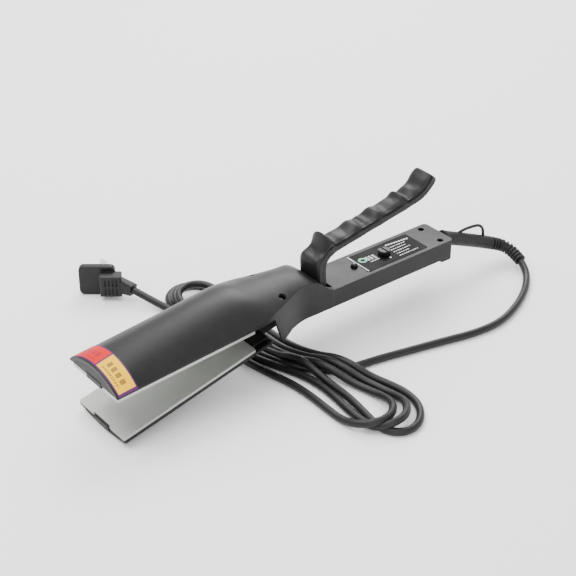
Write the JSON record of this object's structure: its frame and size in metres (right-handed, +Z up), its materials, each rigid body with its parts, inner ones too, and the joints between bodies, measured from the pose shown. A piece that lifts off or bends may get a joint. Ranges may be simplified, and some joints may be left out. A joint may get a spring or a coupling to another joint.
{
  "type": "impulse heat sealer",
  "caption": "Hand-clamp impulse heat sealer: hinged jaws with flat sealing plates, ribbed squeeze grip, control box and corded plug.",
  "frame": {"origin": "on the table, under the middle of the casing; cord, boot, loop and plug not counted", "axes": "+X along the casing towards the cord end, +Y across to the far side, +Z up; jaws point to -X"},
  "size_m": [0.4626, 0.3671, 0.1258],
  "materials": {
    "casing_plastic": "fine satin mould texture",
    "cap_plastic": "satin",
    "inner_plastic": "matt",
    "plate_metal": "satin anodised",
    "heater": "ceramic-coated strip",
    "insulator": "mica board",
    "circuit_board": "solder-masked",
    "screw_steel": "blackened",
    "spring_steel": "drawn wire",
    "bush_brass": "turned",
    "label_black": "gloss film",
    "label_yellow": "gloss film",
    "label_red": "gloss film",
    "knob_plastic": "satin",
    "button_plastic": "gloss",
    "cord_rubber": "smooth sheath",
    "boot_rubber": "moulded",
    "plug_plastic": "moulded",
    "pin_brass": "polished"
  },
  "bodies": {
    "housing": {"casing": "casing_plastic", "bottom_cover": "casing_plastic", "cover_screws": "screw_steel", "upper_end_cap": "cap_plastic", "upper_plate": "plate_metal", "upper_heater": "heater", "upper_insulator": "insulator", "plate_carrier": "inner_plastic", "upper_plate_screws": "screw_steel", "shoulder_screws": "screw_steel", "pivot_pin": "screw_steel", "return_spring": "spring_steel", "control_board": "circuit_board", "potentiometer": "inner_plastic", "button_switch": "inner_plastic", "panel_label": "label_black", "jaw_label_near": "label_yellow", "jaw_label_far": "label_red", "inner_cord": "cord_rubber", "cord_clamp": "inner_plastic", "clamp_screws": "screw_steel", "cable_boot": "boot_rubber", "hanging_loop": "boot_rubber", "power_cord": "cord_rubber", "cord_hank": "cord_rubber", "cord_tail": "cord_rubber", "plug_body": "plug_plastic", "plug_pins": "pin_brass"},
    "lever": {"lower_plate": "plate_metal", "lower_heater": "heater", "lower_insulator": "insulator", "lower_jaw_shell": "casing_plastic", "lower_end_cap": "cap_plastic", "frame_screws": "screw_steel", "lever_frame": "inner_plastic", "pivot_bushes": "bush_brass", "grip_base": "casing_plastic", "grip_cover": "casing_plastic"},
    "knob": {"temperature_knob": "knob_plastic"},
    "button": {"push_button": "button_plastic"}
  },
  "joints": [
    {"name": "jaw_hinge", "type": "hinge", "parent": "housing", "child": "lever", "pos_m": [0.0485, 0, 0.04711], "axis": [0, 1, 0], "range_deg": [0, 8.9], "stiffness_Nm_per_rad": 5, "springref_deg": -17.19, "deforming": ["return_spring"]},
    {"name": "knob_turn", "type": "hinge", "parent": "housing", "child": "knob", "pos_m": [0.1195, 0, 0.05471], "axis": [0, 0, 1], "range_deg": [-135, 135]},
    {"name": "button_press", "type": "slide", "parent": "housing", "child": "button", "axis": [0, 0, -1], "range_m": [0, 0.0015], "stiffness_N_per_m": 600, "springref_m": -0.0015}
  ]
}
